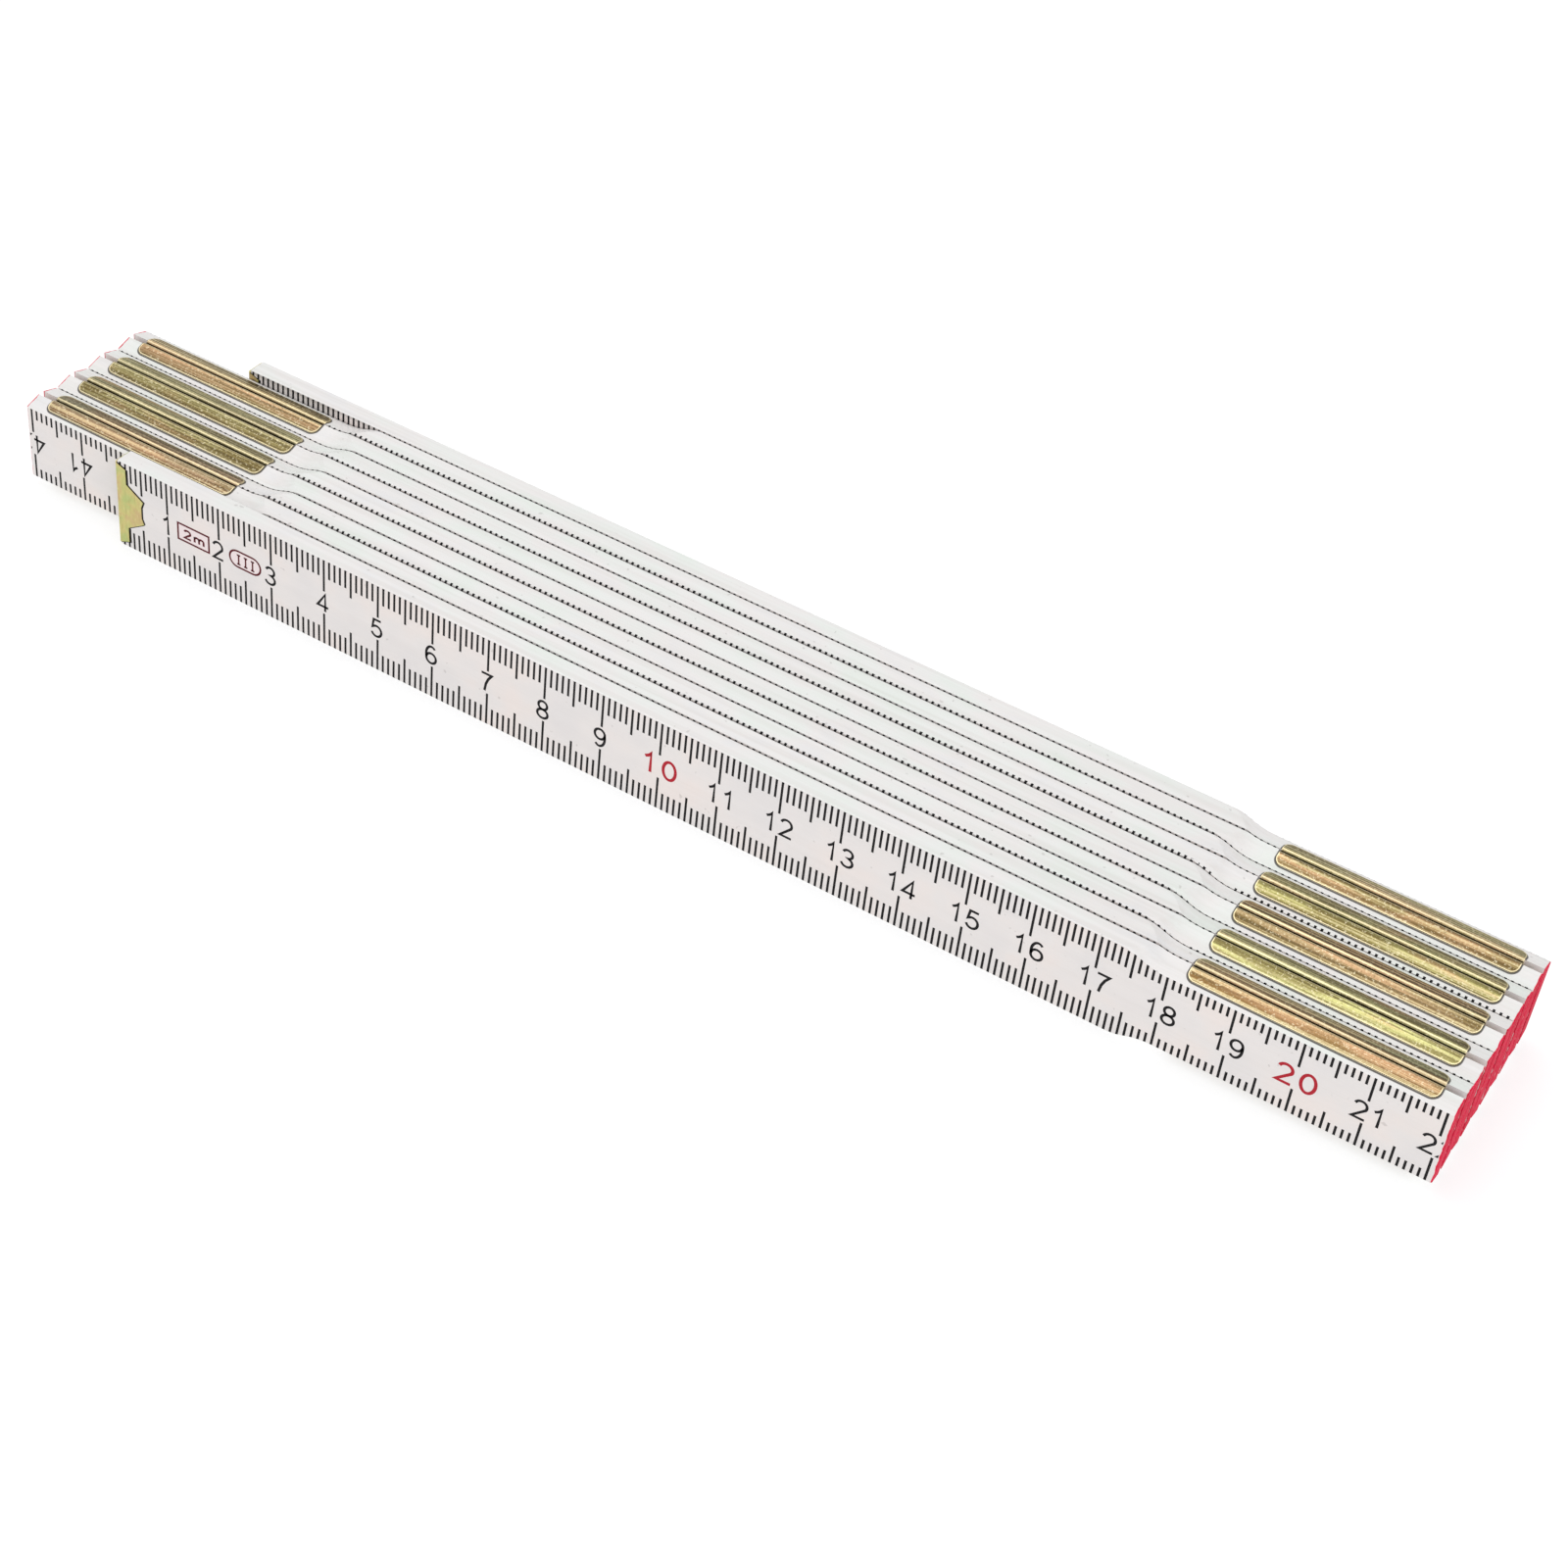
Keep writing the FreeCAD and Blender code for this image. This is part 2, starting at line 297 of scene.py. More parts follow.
soft_lamp("lamp_over", (-0.25, 0.15, 1.0), 0.9, 4.2)
soft_lamp("lamp_front", (0.5, -0.9, 0.6), 0.8, 3.2)
world = bpy.data.worlds.new("world")
world.use_nodes = True
sky = world.node_tree.nodes["Background"].inputs
sky["Color"].default_value = srgb(250, 252, 255)
sky["Strength"].default_value = 0.66
bpy.context.scene.world = world
bpy.context.scene.view_settings.view_transform = "Standard"

# %% [markdown]
# ## Where the hinges are, for a material
# A painted shadow lies round the hinge clips, and painted highlights and shade lie on the clips'
# own bends, rims and hinge line. All need a material that knows how far a point is from the nearest
# hinge. The hinges repeat every two slats through the stack, shifted by one slat at the other end,
# so the fraction of Y over two pitches gives the distance from the hinge plane. A box with round
# corners, measured from its outline, does the rest. The frame's clip box gives its size.

# %% Find the hinges from inside a material
clip_low, clip_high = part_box("clip_front_01")
clip_half_length = (clip_high.x - clip_low.x) / 2 / MM
clip_reach = (pivots[0].y - clip_low.y) / MM
CLIP_CORNER = 1.2
END_SWITCH = 10 * MM


def hinge_distances(x, y):
    """Distances in mm from the nearest hinge plane, and outwards from its clips' outline."""
    first_end = x.step(-END_SWITCH, END_SWITCH)
    turn = (y - pivots[0].y) / (2 * layer_pitch) + first_end * 0.5
    away = abs(turn.fraction() - 0.5) * (2 * layer_pitch / MM)
    run = abs(abs(x) - half_spacing) / MM
    along = (run - (clip_half_length - CLIP_CORNER)).most(0.0)
    through = (away - (clip_reach - CLIP_CORNER)).most(0.0)
    outside = (along * along + through * through).root() - CLIP_CORNER
    return away, outside, first_end


print(f"a clip is {2 * clip_half_length:.1f} mm long and reaches {clip_reach:.2f} mm from its hinge")

# %% [markdown]
# ## White lacquer over wood
# The slats are beech or maple, sawn thin and dipped in white lacquer. Three things keep that from
# looking like plastic. The grain still shows as very faint streaks along the slat, more on the
# narrow edges, where less paint stays on. Painted shade darkens the long corners where the slats
# face each other, and a dark line of painted shadow runs round each clip. And the sawn ends are
# painted red, which runs a hair's breadth round the corner. Streaks come from noise that is
# stretched some seventy times along X. The red ends are a mask on the X coordinate, so one material
# fits all ten slats.

# %% Say where shade is painted
RIM_STARTS = 0.7 * MM
RIM_FULL = 0.3 * MM
CLEAN_STARTS = 0.45 * MM
CLEAN_FULL = 0.25 * MM
SEAM_STARTS = -0.04
SEAM_FULL = 0.0
SEAM_FADES = 0.18
SEAM_GONE = 0.30


def corner_painted_shade(y, z, across):
    """A mask of painted shade for the long corners where slats face each other, not on the two outer
    faces of the stack.
    """
    inner = 1 - abs(y).step(outer_face - CLEAN_STARTS, outer_face - CLEAN_FULL)
    rim = abs(z - mid_height).step(mid_height - RIM_STARTS, mid_height - RIM_FULL)
    return inner * rim * abs(across).step(0.6, 0.95)


def clip_painted_shadow(x, y, upward):
    """A mask of painted shadow: a narrow line on the slats' edges, just outside each clip."""
    _, outside, first_end = hinge_distances(x, y)
    free_slat = outer_face - layer_pitch
    hinged = first_end.most(1 - abs(y).step(free_slat + 0.05 * MM, free_slat + 0.15 * MM))
    line = outside.step(SEAM_STARTS, SEAM_FULL) * (1 - outside.step(SEAM_FADES, SEAM_GONE))
    return line * abs(upward).step(0.3, 0.5) * hinged


# Painted shade reaches in from a corner, and painted shadow out from a clip, by these distances.
print(f"dirt reaches {RIM_STARTS / MM:.1f} mm in from a corner and {SEAM_GONE} mm out from a clip")

# %% Mix the lacquered slat
FACE_TINTS = [(0.34, (224, 219, 217)), (0.5, (228, 222, 219)), (0.66, (232, 222, 217))]
EDGE_TINTS = [
    (0.30, (229, 233, 226)),
    (0.44, (233, 233, 229)),
    (0.56, (235, 231, 228)),
    (0.70, (231, 229, 228)),
]
RED_CREEP = 0.4 * MM


def lacquer_material():
    paint = Paint("white_lacquered_wood")
    place = paint.place()
    x, y, z = paint.axes(place)
    _, across, upward = paint.facing()
    grain = paint.noise(paint.stretch(place, (12.0, 900.0, 900.0)), 1.0, 5.0, 0.6, 0.3)
    fine_grain = paint.noise(paint.stretch(place, (60.0, 4200.0, 4200.0)), 1.0, 2.0, 0.6)
    cloud = paint.noise(place, 55.0, 3.0)
    tint = paint.noise(paint.stretch(place, (90.0, 180.0, 110.0)), 1.0, 2.0, 0.6)
    speck = paint.noise(place, 900.0, 1.0).step(0.74, 0.80)
    edge_face = abs(upward).step(0.5, 0.8)
    colour = paint.mix(edge_face, paint.ramp(tint, FACE_TINTS), paint.ramp(tint, EDGE_TINTS))
    streak = grain.step(0.35, 0.75) * (edge_face * 0.12 + 0.05) + fine_grain.step(0.5, 0.8) * 0.04
    colour = paint.mix(streak, colour, srgb(180, 166, 152))
    colour = paint.mix(speck * 0.25, colour, srgb(120, 110, 104))
    # Painted shade: the long corners between facing slats are darkened.
    colour = paint.mix(corner_painted_shade(y, z, across) * 0.32, colour, srgb(92, 86, 84))
    # Painted shadow: a dark line on the lacquer just outside each clip.
    colour = paint.mix(clip_painted_shadow(x, y, upward) * 0.92, colour, srgb(46, 38, 32))
    normal = paint.bump(grain * 0.6 + fine_grain * 0.3 + cloud * 0.5, 0.25, 0.06 * MM)
    white = paint.shader(
        Base_Color=colour,
        Roughness=0.38 + cloud * 0.10 + fine_grain * 0.06,
        Coat_Weight=0.12,
        Coat_Roughness=0.25,
        Normal=normal,
    )
    red = red_end_shader(paint, place, normal)
    creep = paint.noise(paint.stretch(place, (1.0, 700.0, 700.0)), 1.0, 2.0) * RED_CREEP
    past_end = (abs(x) + creep).step(slat_end, slat_end + 0.1 * MM)
    return paint.close(paint.node("ShaderNodeMixShader", None, {0: past_end, 1: white, 2: red}))


def red_end_shader(paint, place, normal):
    """Matt carmine paint on end grain: pores soak it up darker, and a brush leaves it lighter."""
    pores = paint.noise(paint.stretch(place, (1.0, 2600.0, 1500.0)), 1.0, 3.0, 0.7)
    brush = paint.noise(paint.stretch(place, (1.0, 1300.0, 120.0)), 1.0, 2.0)
    tone = pores * 0.4 + brush * 0.6
    colour = paint.ramp(tone, [(0.34, (190, 10, 44)), (0.5, (218, 18, 60)), (0.66, (232, 52, 88))])
    return paint.shader(
        Base_Color=colour,
        Roughness=0.62 + pores * 0.2,
        Specular_IOR_Level=0.12,
        Normal=normal,
    )


lacquer = lacquer_material()

# %% [markdown]
# ## Coloured passivation on the hinge clips
# The clips are stamped from sheet steel, zinc plated and dipped in yellow chromate. The film is so
# thin that it shows interference colours: mostly straw gold, drifting to olive green and to a
# coppery pink, with each clip a little different. It is a metal, so all the colour sits in the base
# colour of a metallic shader. The sheet's faint drawn streaks run along X, and a fine salt of bright
# and dark specks breaks the sheen up. Light and dark lines at a fixed pitch from the hinge are
# painted reflections, and the streaks are deepened as painted reflection on the flanges that face
# back and up. A painted highlight lies on the bend beside the hinge line and round the cut rim, and
# painted shade darkens the hinge line itself. The two lists give each slat's clips their own shade,
# from the front of the stack to the back: one at the end with the first hinge, one at the other.

# %% Mix the chromated steel
# The pitch, in mm from the hinge, of the painted reflection lines on the clips.
REFLECTION_LINE_PITCH = 0.62
FIRST_HINGE_END = [
    (150, 116, 72), (174, 174, 135), (204, 202, 132), (196, 189, 136), (162, 135, 98),
    (174, 163, 117), (164, 159, 96), (184, 176, 124), (132, 112, 70), (176, 164, 112),
]
ZERO_END = [
    (160, 128, 100), (166, 134, 104), (196, 194, 156), (142, 131, 85), (192, 184, 135),
    (146, 134, 87), (197, 192, 141), (168, 135, 100), (215, 192, 141), (180, 169, 117),
]


def bath_colours(shades):
    """Stops that give each slat's clips their own shade, by their place through the stack."""
    return [((index + 0.5) / SLATS, shade) for index, shade in enumerate(shades)]


def passivated_material():
    paint = Paint("yellow_passivated_steel")
    place = paint.place()
    x, y, _ = paint.axes(place)
    away, outside, first_end = hinge_distances(x, y)
    _, across, upward = paint.facing()
    through = (y + outer_face) / (2 * outer_face)
    at_zero = paint.ramp(through, bath_colours(ZERO_END))
    at_first_hinge = paint.ramp(through, bath_colours(FIRST_HINGE_END))
    own = paint.mix(first_end, at_zero, at_first_hinge)
    drift = paint.noise(paint.stretch(place, (46.0, 330.0, 90.0)), 1.0, 2.0, 0.5, 0.5)
    drawn = paint.noise(paint.stretch(place, (9.0, 1900.0, 1900.0)), 1.0, 2.0, 0.6)
    fine_drawn = paint.noise(paint.stretch(place, (70.0, 5200.0, 5200.0)), 1.0, 2.0, 0.6)
    salt = paint.noise(place, 2700.0, 2.0, 0.7)
    colour = paint.mix(drift.step(0.50, 0.64) * 0.6, own, srgb(214, 166, 128))
    colour = paint.mix((1 - drift).step(0.51, 0.62) * 0.7, colour, srgb(112, 94, 54))
    # Painted reflection: the drawn streaks, which are the sheet's own, are deepened on the flanges that
    # face back and up.
    back_flange = across.step(0.05, 0.2) * abs(upward).step(0.1, 0.3)
    line_depth = back_flange * 0.12 + 0.6
    lower_half = away.step(1.1, 2.2) * (1 - back_flange) * drift.step(0.40, 0.56)
    colour = paint.mix(lower_half * 0.6, colour, srgb(98, 76, 42))
    colour = paint.mix(drawn.step(0.50, 0.58) * line_depth, colour, srgb(78, 64, 36))
    bright = (1 - drawn).step(0.53, 0.62) * (line_depth - 0.15)
    colour = paint.mix(bright, colour, srgb(236, 222, 172))
    # Painted reflection lines at a fixed pitch from the hinge, faint on every flange and strong on the
    # back ones.
    reflection_lines = abs(((away + drawn * 0.3) / REFLECTION_LINE_PITCH).fraction() - 0.5).step(0.22, 0.40)
    colour = paint.mix(reflection_lines * (back_flange * 0.55 + 0.12), colour, srgb(66, 54, 32))
    colour = paint.mix(salt.step(0.56, 0.66) * 0.4, colour, srgb(255, 244, 208))
    colour = paint.mix((1 - salt).step(0.57, 0.67) * 0.45, colour, srgb(84, 68, 40))
    # Painted highlight: a pale band on the bend beside the hinge line, and round the cut rim.
    bend = away.step(0.24, 0.34) * (1 - away.step(0.50, 0.62))
    rim = outside.step(-0.18, -0.10)
    colour = paint.mix((bend * 0.55).most(rim * 0.65), colour, srgb(255, 240, 196))
    # Painted shade: the hinge line between the plates is darkened nearly to black.
    colour = paint.mix((1 - away.step(0.13, 0.22)) * 0.94, colour, srgb(24, 18, 12))
    roughness = 0.28 + fine_drawn * 0.14 + salt * 0.12
    normal = paint.bump(drawn * 0.7 + fine_drawn * 0.4 + salt * 0.4, 0.4, 0.03 * MM)
    return paint.surface(Base_Color=colour, Metallic=0.94, Roughness=roughness, Normal=normal)


passivated = passivated_material()

# %% [markdown]
# ## The end caps
# The free ends wear a cap of thin brass-coloured sheet, folded over both faces so that the zero
# mark can't wear away. It is paler and more matt than the hinges, a yellow green with rosy patches.
# It is handled most, so its finish is scuffed with fine scratches in all directions.

# %% Mix the cap's metal
SCRATCH_DEPTH = 0.02 * MM
PATCH_SHADES = [(0.34, (202, 178, 128)), (0.46, (204, 194, 128)), (0.66, (184, 192, 124))]


def cap_material():
    paint = Paint("pale_capped_brass")
    place = paint.place()
    patch = paint.noise(place, 380.0, 2.0, 0.5, 0.4)
    scuff = paint.noise(paint.stretch(place, (2600.0, 2600.0, 700.0)), 1.0, 3.0, 0.6, 0.4)
    colour = paint.ramp(patch, PATCH_SHADES)
    colour = paint.mix(scuff.step(0.5, 0.75) * 0.3, colour, srgb(160, 140, 92))
    colour = paint.mix((1 - scuff).step(0.58, 0.75) * 0.35, colour, srgb(238, 228, 178))
    roughness = 0.40 + scuff * 0.16
    normal = paint.bump(scuff, 0.25, SCRATCH_DEPTH)
    return paint.surface(Base_Color=colour, Metallic=0.85, Roughness=roughness, Normal=normal)


cap_brass = cap_material()

# %% [markdown]
# ## The hidden steel
# The rivets and their dished spring washers sit in pockets in the wood and only show through the
# hinge line. They still get real finishes: bare turned steel with rings about the pivot for the
# rivet, and heat-blued spring steel for the washer.

# %% Mix the rivet's and the washer's steel
def hidden_steel(name, light, dark, gloss):
    paint = Paint(name)
    place = paint.place()
    turned = paint.noise(paint.stretch(place, (5200.0, 700.0, 5200.0)), 1.0, 2.0)
    bloom = paint.noise(place, 600.0, 2.0)
    colour = paint.mix(turned.step(0.35, 0.7), light, dark)
    return paint.surface(
        Base_Color=colour,
        Metallic=0.95,
        Roughness=gloss + bloom * 0.2,
        Normal=paint.bump(turned, 0.2, SCRATCH_DEPTH),
    )


rivet_steel = hidden_steel("turned_rivet_steel", srgb(190, 190, 192), srgb(150, 150, 154), 0.25)
washer_steel = hidden_steel("blued_spring_steel", srgb(104, 112, 140), srgb(70, 72, 92), 0.30)

# %% [markdown]
# ## Dress the measured parts
# Each carried-over part takes its finish by its name's first word.

# %% Give each part its material
FINISHES = {
    "slat": lacquer,
    "clip": passivated,
    "pivot": rivet_steel,
    "spring": washer_steel,
    "end": cap_brass,
}
for name, node in nodes.items():
    node.data.materials.clear()
    node.data.materials.append(FINISHES[name.split("_")[0]])
print({word: sum(name.startswith(word) for name in nodes) for word in FINISHES})

# %% [markdown]
# ## Ink for the scale
# The scale is pad-printed in black, with the tens in red. Ink on lacquer is slightly uneven: it
# thins out in fine pinholes, which the shader shows as small greyish spots. The same recipe gives
# the darker red and the film of pink for the two marks near zero, and the dark ink of painted
# shadow round the end caps.

# %% Mix the inks
def ink_material(name, full, thin):
    paint = Paint(name)
    place = paint.place()
    pinholes = paint.noise(place, 5200.0, 2.0, 0.7)
    cover = paint.noise(place, 300.0, 2.0)
    colour = paint.mix(pinholes.step(0.64, 0.85) * 0.4 + cover * 0.06, full, thin)
    return paint.surface(Base_Color=colour, Roughness=0.5 + pinholes * 0.2, Specular_IOR_Level=0.2)


black_ink = ink_material("black_scale_ink", srgb(6, 5, 7), srgb(70, 66, 66))
red_ink = ink_material("red_scale_ink", srgb(172, 16, 36), srgb(214, 110, 118))
dark_red_ink = ink_material("dark_red_mark_ink", srgb(86, 6, 20), srgb(120, 40, 50))
pink_ink = ink_material("pink_mark_film", srgb(235, 221, 220), srgb(231, 222, 219))
# A dark ink laid as painted shadow round the end caps, with some tarnish in it.
cap_shadow_ink = ink_material("painted_cap_shadow", srgb(22, 17, 14), srgb(70, 58, 46))

# %% [markdown]
# ## Drawing figures with strokes
# The figures are plain upright numerals of even stroke, so each is written as the path that a pen
# would take in a box one unit high. Giving the path a width turns it into a ribbon, and giving the
# ribbon a hair of thickness turns it into a closed solid that lies on the lacquer like ink. A font
# would be quicker, but it would tie the picture to whichever font is installed.

# %% Write the figures as pen paths
def bow(x, y, half_width, half_height, start, end, steps=10):
    """Points along part of an ellipse, with angles in degrees from the +X direction."""
    points = []
    for index in range(steps + 1):
        angle = math.radians(start + (end - start) * index / steps)
        points.append((x + half_width * math.cos(angle), y + half_height * math.sin(angle)))
    return points


FIGURES = {
    "0": [bow(0.29, 0.5, 0.25, 0.46, 90, 450, 24)],
    "1": [[(0.10, 0.74), (0.20, 0.80), (0.29, 0.88), (0.34, 0.98), (0.34, 0.0)]],
    "2": [bow(0.29, 0.70, 0.24, 0.26, 165, -25) + [(0.05, 0.05), (0.56, 0.05)]],
    "3": [bow(0.28, 0.735, 0.22, 0.225, 160, -80) + bow(0.28, 0.28, 0.25, 0.24, 90, -165)],
    "4": [[(0.58, 0.26), (0.03, 0.26), (0.42, 0.95), (0.42, 0.0)]],
    "5": [[(0.50, 0.95), (0.14, 0.95), (0.08, 0.52)] + bow(0.28, 0.33, 0.25, 0.29, 120, -160, 14)],
    "6": [bow(0.31, 0.5, 0.26, 0.46, 50, 180) + bow(0.30, 0.31, 0.24, 0.27, 180, 540, 20)],
    "7": [[(0.04, 0.95), (0.54, 0.95), (0.38, 0.70), (0.27, 0.40), (0.21, 0.0)]],
    "8": [bow(0.29, 0.73, 0.21, 0.225, 90, 450, 18), bow(0.29, 0.27, 0.25, 0.235, 90, 450, 20)],
    "9": [bow(0.27, 0.5, 0.26, 0.46, 230, 360) + bow(0.28, 0.69, 0.24, 0.27, 0, 360, 20)],
    "m": [
        [(0.04, 0.05), (0.04, 0.68)],
        bow(0.22, 0.46, 0.18, 0.20, 180, 0) + [(0.40, 0.05)],
        bow(0.58, 0.46, 0.18, 0.20, 180, 0) + [(0.76, 0.05)],
    ],
    "I": [[(0.15, 0.05), (0.15, 0.95)], [(0.0, 0.06), (0.30, 0.06)], [(0.0, 0.94), (0.30, 0.94)]],
}
print("figures:", " ".join(FIGURES))

# %% [markdown]
# ## A sheet of ink on a slat's face
# All the marks of one colour on one slat make one piece. A small class collects them as closed
# solids, either a strip of rings with four points each or a flat outline with a thickness, and then
# turns them into one object that rides on the slat's body. The ink stands a few thousandths of a
# millimetre proud and goes a little into the wood, so no gap can show under it.

# %% Collect ink marks on a face
INK_LIFT = 0.006 * MM
INK_DEPTH = 0.012 * MM
RAISED = (INK_LIFT, INK_LIFT, -INK_DEPTH, -INK_DEPTH)
EDGE_ROUND = 0.3 * MM


class Ink:
    """Marks of one colour on one slat, kept as vertices and faces."""

    def __init__(self):
        self.vertices = []
        self.faces = []

    def hull(self, rows, closed=False):
        """A closed solid from rings of four points; closed joins the last ring to the first."""
        base = len(self.vertices)
        for row in rows:
            self.vertices.extend(row)
        pairs = len(rows) if closed else len(rows) - 1
        for index in range(pairs):
            here = base + 4 * index
            there = base + 4 * ((index + 1) % len(rows))
            for side in range(4):
                after = (side + 1) % 4
                self.faces.append((here + side, there + side, there + after, here + after))
        if not closed:
            last = base + 4 * (len(rows) - 1)
            self.faces.append((base, base + 1, base + 2, base + 3))
            self.faces.append((last + 3, last + 2, last + 1, last))

    def sheet(self, face, outline):
        """A closed thin sheet inside an outline given in face millimetres."""
        base = len(self.vertices)
        count = len(outline)
        for lift in (INK_LIFT / 2, -INK_DEPTH):
            self.vertices.extend(face.at(*point, lift) for point in outline)
        self.faces.append(tuple(range(base, base + count)))
        self.faces.append(tuple(range(base + 2 * count - 1, base + count - 1, -1)))
        for index in range(count):
            top, next_top = base + index, base + (index + 1) % count
            self.faces.append((top, top + count, next_top + count, next_top))

    def piece(self, name, material, body):
        """Turns the marks into an object that rides on the slat's body."""
        mesh = bpy.data.meshes.new(name)
        mesh.from_pydata(self.vertices, [], self.faces)
        mesh.materials.append(material)
        made = bpy.data.objects.new(name, mesh)
        bpy.context.scene.collection.objects.link(made)
        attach(made, body)
        return made


print(f"ink stands {INK_LIFT / MM:.3f} mm proud and goes {INK_DEPTH / MM:.3f} mm into the wood")

# %% [markdown]
# ## The faces that carry a scale
# A face knows its own directions: `right` is the way the readings grow, `up` the way the figures
# stand and `out` the way off the wood. So a mark is given by its reading and its height above the
# slat's middle line, and lands at the right place on any of the twenty faces.
#
# A slat is planed narrower near its hinges, where the clips fold round it, and its long edges there
# slope: the side next to the hinge plane lies 0.6 mm below the full width, and the far side 1.6 mm.
# Ink at the edge has to follow that outline, so a face can tell how far its edge has dropped at a
# reading. It can also tell how far the printing runs over the edge. No two blanks sat quite alike
# under the plate, so that is given for each slat's upper front edge, at its low and its high X.

# %% Describe the faces that carry a scale
NECK_FULL = 20.0
NECK_STEP = 8.0
NECK_DROP_JOINT = 0.6
NECK_DROP_FACE = 1.6
NECK_MARGIN = 0.01
SHORT_REACH = 0.2
LONG_REACH = {
    2: (0.25, 0.55),
    3: (0.55, 0.40),
    4: (0.62, 0.40),
    5: (0.55, 0.36),
    6: (0.25, 0.58),
    7: (0.35, 0.62),
    8: (0.62, 0.58),
    9: (0.58, 0.32),
    10: (0.25, 0.60),
}
bevel = math.atan((NECK_DROP_FACE - NECK_DROP_JOINT) / (slat_thickness / MM))


def neck_height(run):
    """How far the planed edge still stands above the neck, for a distance in mm before the pivot."""
    deep = NECK_DROP_FACE * math.cos(bevel)
    radius = (NECK_STEP ** 2 + deep ** 2) / (4 * deep)
    before = run - NECK_FULL
    if before <= 0:
        return 0.0
    if before >= NECK_STEP:
        return deep
    if before <= NECK_STEP / 2:
        return radius - math.sqrt(radius ** 2 - before ** 2)
    return deep - (radius - math.sqrt(radius ** 2 - (NECK_STEP - before) ** 2))


class Face:
    """One broad face of a slat, with the readings printed on it."""

    def __init__(self, number, front):
        self.number = number
        self.front = front
        sign = 1 if number % 2 else -1
        low, high = slat_boxes[number]
        self.out = Vector((0, -1 if front else 1, 0))
        self.right = Vector((sign, 0, 0))
        self.up = self.out.cross(self.right)
        self.first = READING_PER_SLAT * (number - 1)
        self.last = self.first + READING_PER_SLAT
        zero = Vector((-sign * half_spacing, low.y if front else high.y, mid_height))
        self.origin = zero - self.right * (self.first * MM)
        wood_ends = ((x - self.origin.x) * sign / MM for x in (low.x, high.x))
        self.print_start, self.print_end = sorted(wood_ends)
        self.hinge_at_start = number > 1
        self.hinge_at_end = number < SLATS
        self.joined_at_start = front and self.hinge_at_start
        self.joined_at_end = not front and self.hinge_at_end
        if self.joined_at_start:
            self.print_start = self.first + clip_half_length
        if self.joined_at_end:
            self.print_end = self.last - clip_half_length

    def at(self, reading, height, lift=0.0):
        """The place of a reading in mm and a height in mm above the middle line."""
        return self.origin + self.right * (reading * MM) + self.up * (height * MM) + self.out * lift

    def edge(self, reading):
        """How far the long edge lies below the full width, in mm, and how steeply it rises behind."""
        drop, slope = 0.0, 0.0
        for hinged, joined, run in (
            (self.hinge_at_start, self.joined_at_start, reading - self.first),
            (self.hinge_at_end, self.joined_at_end, self.last - reading),
        ):
            full = NECK_DROP_JOINT if joined else NECK_DROP_FACE
            here = full - neck_height(run) / math.cos(bevel)
            if hinged and here > max(drop, NECK_MARGIN):
                drop = here
                slope = -bevel if joined else bevel
        return drop, slope

    def reach(self, reading, edge):
        """How far a line here runs on past the start of the edge's rounding, in mm."""
        if edge < 0 or not self.front or self.number not in LONG_REACH:
            return SHORT_REACH
        at_low_x, at_high_x = LONG_REACH[self.number]
        share = (self.at(reading, 0.0).x / half_spacing + 1) / 2
        return at_low_x + (at_high_x - at_low_x) * min(1.0, max(0.0, share))


faces = {number: [Face(number, True), Face(number, False)] for number in range(1, SLATS + 1)}
second_front = faces[2][0]
printed_ends = [round(end, 1) for end in (second_front.print_start, second_front.print_end)]
print("the front of slat 2 is printed from and to these readings, in mm:", printed_ends)

# %% [markdown]
# ## The millimetre lines
# The lines start at both long edges: short ones for millimetres, longer ones for fives, and the
# longest for centimetres. The printing plate reaches a little round the rounded edge, which is why
# the rule shows fine dotted lines between its slats when seen from above. So each line is a strip
# that runs up the flat face and then bends over the edge's small radius, in steps fine enough to
# stay above the wood. Where the edge is planed down, the strip follows the slope instead.

# %% Print one millimetre line
LINE_WIDTH = 0.38
LINE_LENGTHS = {"millimetre": 3.3, "five": 4.75, "centimetre": 5.9}
LEAST_REACH = 0.04
STEP_ROUND = 0.09


def line_kind(reading):
    if reading % CENTIMETRE == 0:
        return "centimetre"
    return "five" if reading % 5 == 0 else "millimetre"


def round_edge(distance, drop, slope):
    """The point (height, lift, lean) at a distance past the start of the edge's rounding."""
    half = slat_width / MM / 2
    rounded = EDGE_ROUND / MM
    arc = rounded * math.asin(max(0.0, 1 - drop / rounded))
    lean = min(distance, arc) / rounded
    height = half - max(drop, rounded) + rounded * math.sin(lean)
    lift = rounded * (math.cos(lean) - 1)
    beyond = distance - arc
    if beyond <= 0:
        return height, lift, lean
    height += beyond * math.sin(slope)
    lift -= beyond * math.cos(slope)
    return (height, lift, math.pi / 2 - slope) if height < half else (half, lift, math.pi / 2)


def print_line(ink, face, reading, edge):
    """One line at a reading, from the upper (edge 1) or the lower (edge -1) long edge."""
    foot = slat_width / MM / 2 - LINE_LENGTHS[line_kind(reading)]
    reach = face.reach(reading, edge)
    steps = math.ceil(reach / STEP_ROUND)
    sides = []
    for side in (-edge, edge):
        place = reading + side * LINE_WIDTH / 2
        drop, slope = face.edge(place)
        left = max(LEAST_REACH, reach - min(drop, EDGE_ROUND / MM))
        profile = [round_edge(left * step / steps, drop, slope) for step in range(steps + 1)]
        sides.append([(place, *point) for point in [(foot, 0.0, 0.0)] + profile])
    rows = []
    for pair in zip(*sides):
        corners = []
        for (place, height, lift, lean), raised in zip(pair + pair[::-1], RAISED):
            up_by = height + raised * math.sin(lean) / MM
            out_by = lift * MM + raised * math.cos(lean)
            corners.append(face.at(place, edge * up_by, out_by))
        rows.append(corners)
    ink.hull(rows)


